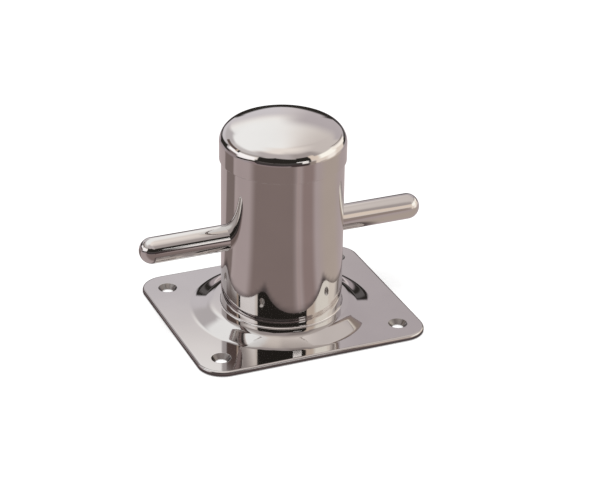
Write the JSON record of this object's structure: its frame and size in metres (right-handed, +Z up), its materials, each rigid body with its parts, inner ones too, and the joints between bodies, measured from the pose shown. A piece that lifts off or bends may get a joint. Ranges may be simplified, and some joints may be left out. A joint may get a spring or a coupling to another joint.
{
  "type": "mooring bollard",
  "caption": "Capped round steel post with a cross bar through it, welded into a pressed rectangular base plate with a raised dish and countersunk screw holes.",
  "frame": {"origin": "centre of the base plate's underside, on the post's axis, where the plate rests on the deck", "axes": "+Z up along the post, +X along the cross bar and the plate's long edges, +Y across the bar"},
  "size_m": [0.187, 0.131, 0.132],
  "materials": {
    "plate_steel": "mirror-polished stainless sheet",
    "tube_steel": "mirror-polished stainless tube with faint polishing lines round it",
    "cap_steel": "mirror-polished pressed stainless sheet",
    "bar_steel": "polished stainless rod with faint polishing lines along it",
    "polished_weld": "weld bead ground and polished",
    "plain_weld": "weld bead as laid, slightly tinted by heat"
  },
  "bodies": {
    "root": {"base_plate": "plate_steel", "post_tube": "tube_steel", "foot_weld": "polished_weld", "under_weld": "plain_weld", "cross_bar": "bar_steel", "cap": "cap_steel"}
  },
  "joints": []
}
